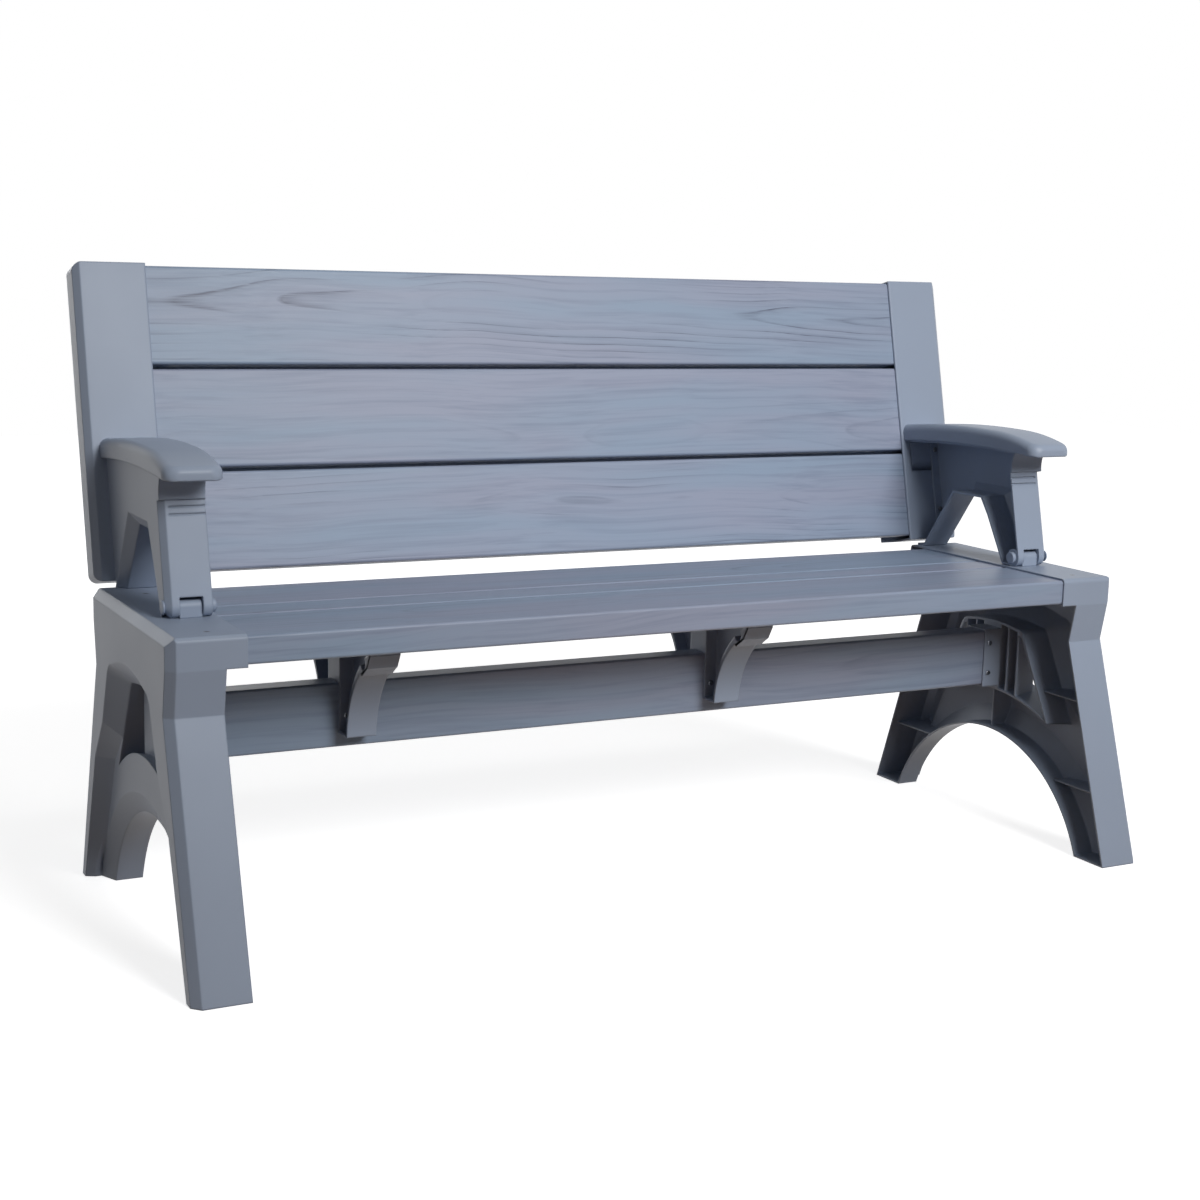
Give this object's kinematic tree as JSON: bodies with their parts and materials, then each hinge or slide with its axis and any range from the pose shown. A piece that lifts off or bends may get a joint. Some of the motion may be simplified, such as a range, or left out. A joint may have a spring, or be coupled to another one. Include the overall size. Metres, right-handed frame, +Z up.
{
  "type": "folding picnic table bench",
  "caption": "Outdoor bench whose slatted back swings forward on its arms to become a picnic table top over the seat, on arched moulded end frames.",
  "frame": {"origin": "centre of the bounding box's footprint, on the floor under the bench, with the back raised", "axes": "+X along the bench's length towards the sitter's left hand, +Y from the front to the back, +Z up"},
  "size_m": [1.483, 0.6249, 0.8711],
  "materials": {
    "board_resin": "satin moulded resin with a printed wood grain, grey blue",
    "frame_resin": "satin moulded resin, smooth, grey blue",
    "zinc_steel": "zinc plated steel, lightly brushed"
  },
  "bodies": {
    "base": {"left_leg_frame": "frame_resin", "right_leg_frame": "frame_resin", "seat_board_front": "board_resin", "seat_board_middle": "board_resin", "seat_board_rear": "board_resin", "stretcher_board": "board_resin", "left_seat_bracket": "frame_resin", "right_seat_bracket": "frame_resin", "left_hinge_base": "frame_resin", "right_hinge_base": "frame_resin", "deck_screws": "zinc_steel", "stretcher_screws": "zinc_steel", "bracket_screws": "zinc_steel", "hinge_base_screws": "zinc_steel"},
    "back": {"back_board_bottom": "board_resin", "back_board_middle": "board_resin", "back_board_top": "board_resin", "left_back_cap": "frame_resin", "right_back_cap": "frame_resin", "left_arm_frame": "frame_resin", "right_arm_frame": "frame_resin", "left_arm_pad": "frame_resin", "right_arm_pad": "frame_resin", "left_hinge_pin": "zinc_steel", "right_hinge_pin": "zinc_steel", "left_pin_cap": "frame_resin", "right_pin_cap": "frame_resin", "back_cap_screws": "zinc_steel", "arm_bolts": "zinc_steel", "pad_screws": "zinc_steel"}
  },
  "joints": [
    {"name": "table_fold", "type": "hinge", "parent": "base", "child": "back", "pos_m": [0, -0.08123, 0.446], "axis": [1, 0, 0], "range_deg": [0, 103.47]}
  ]
}
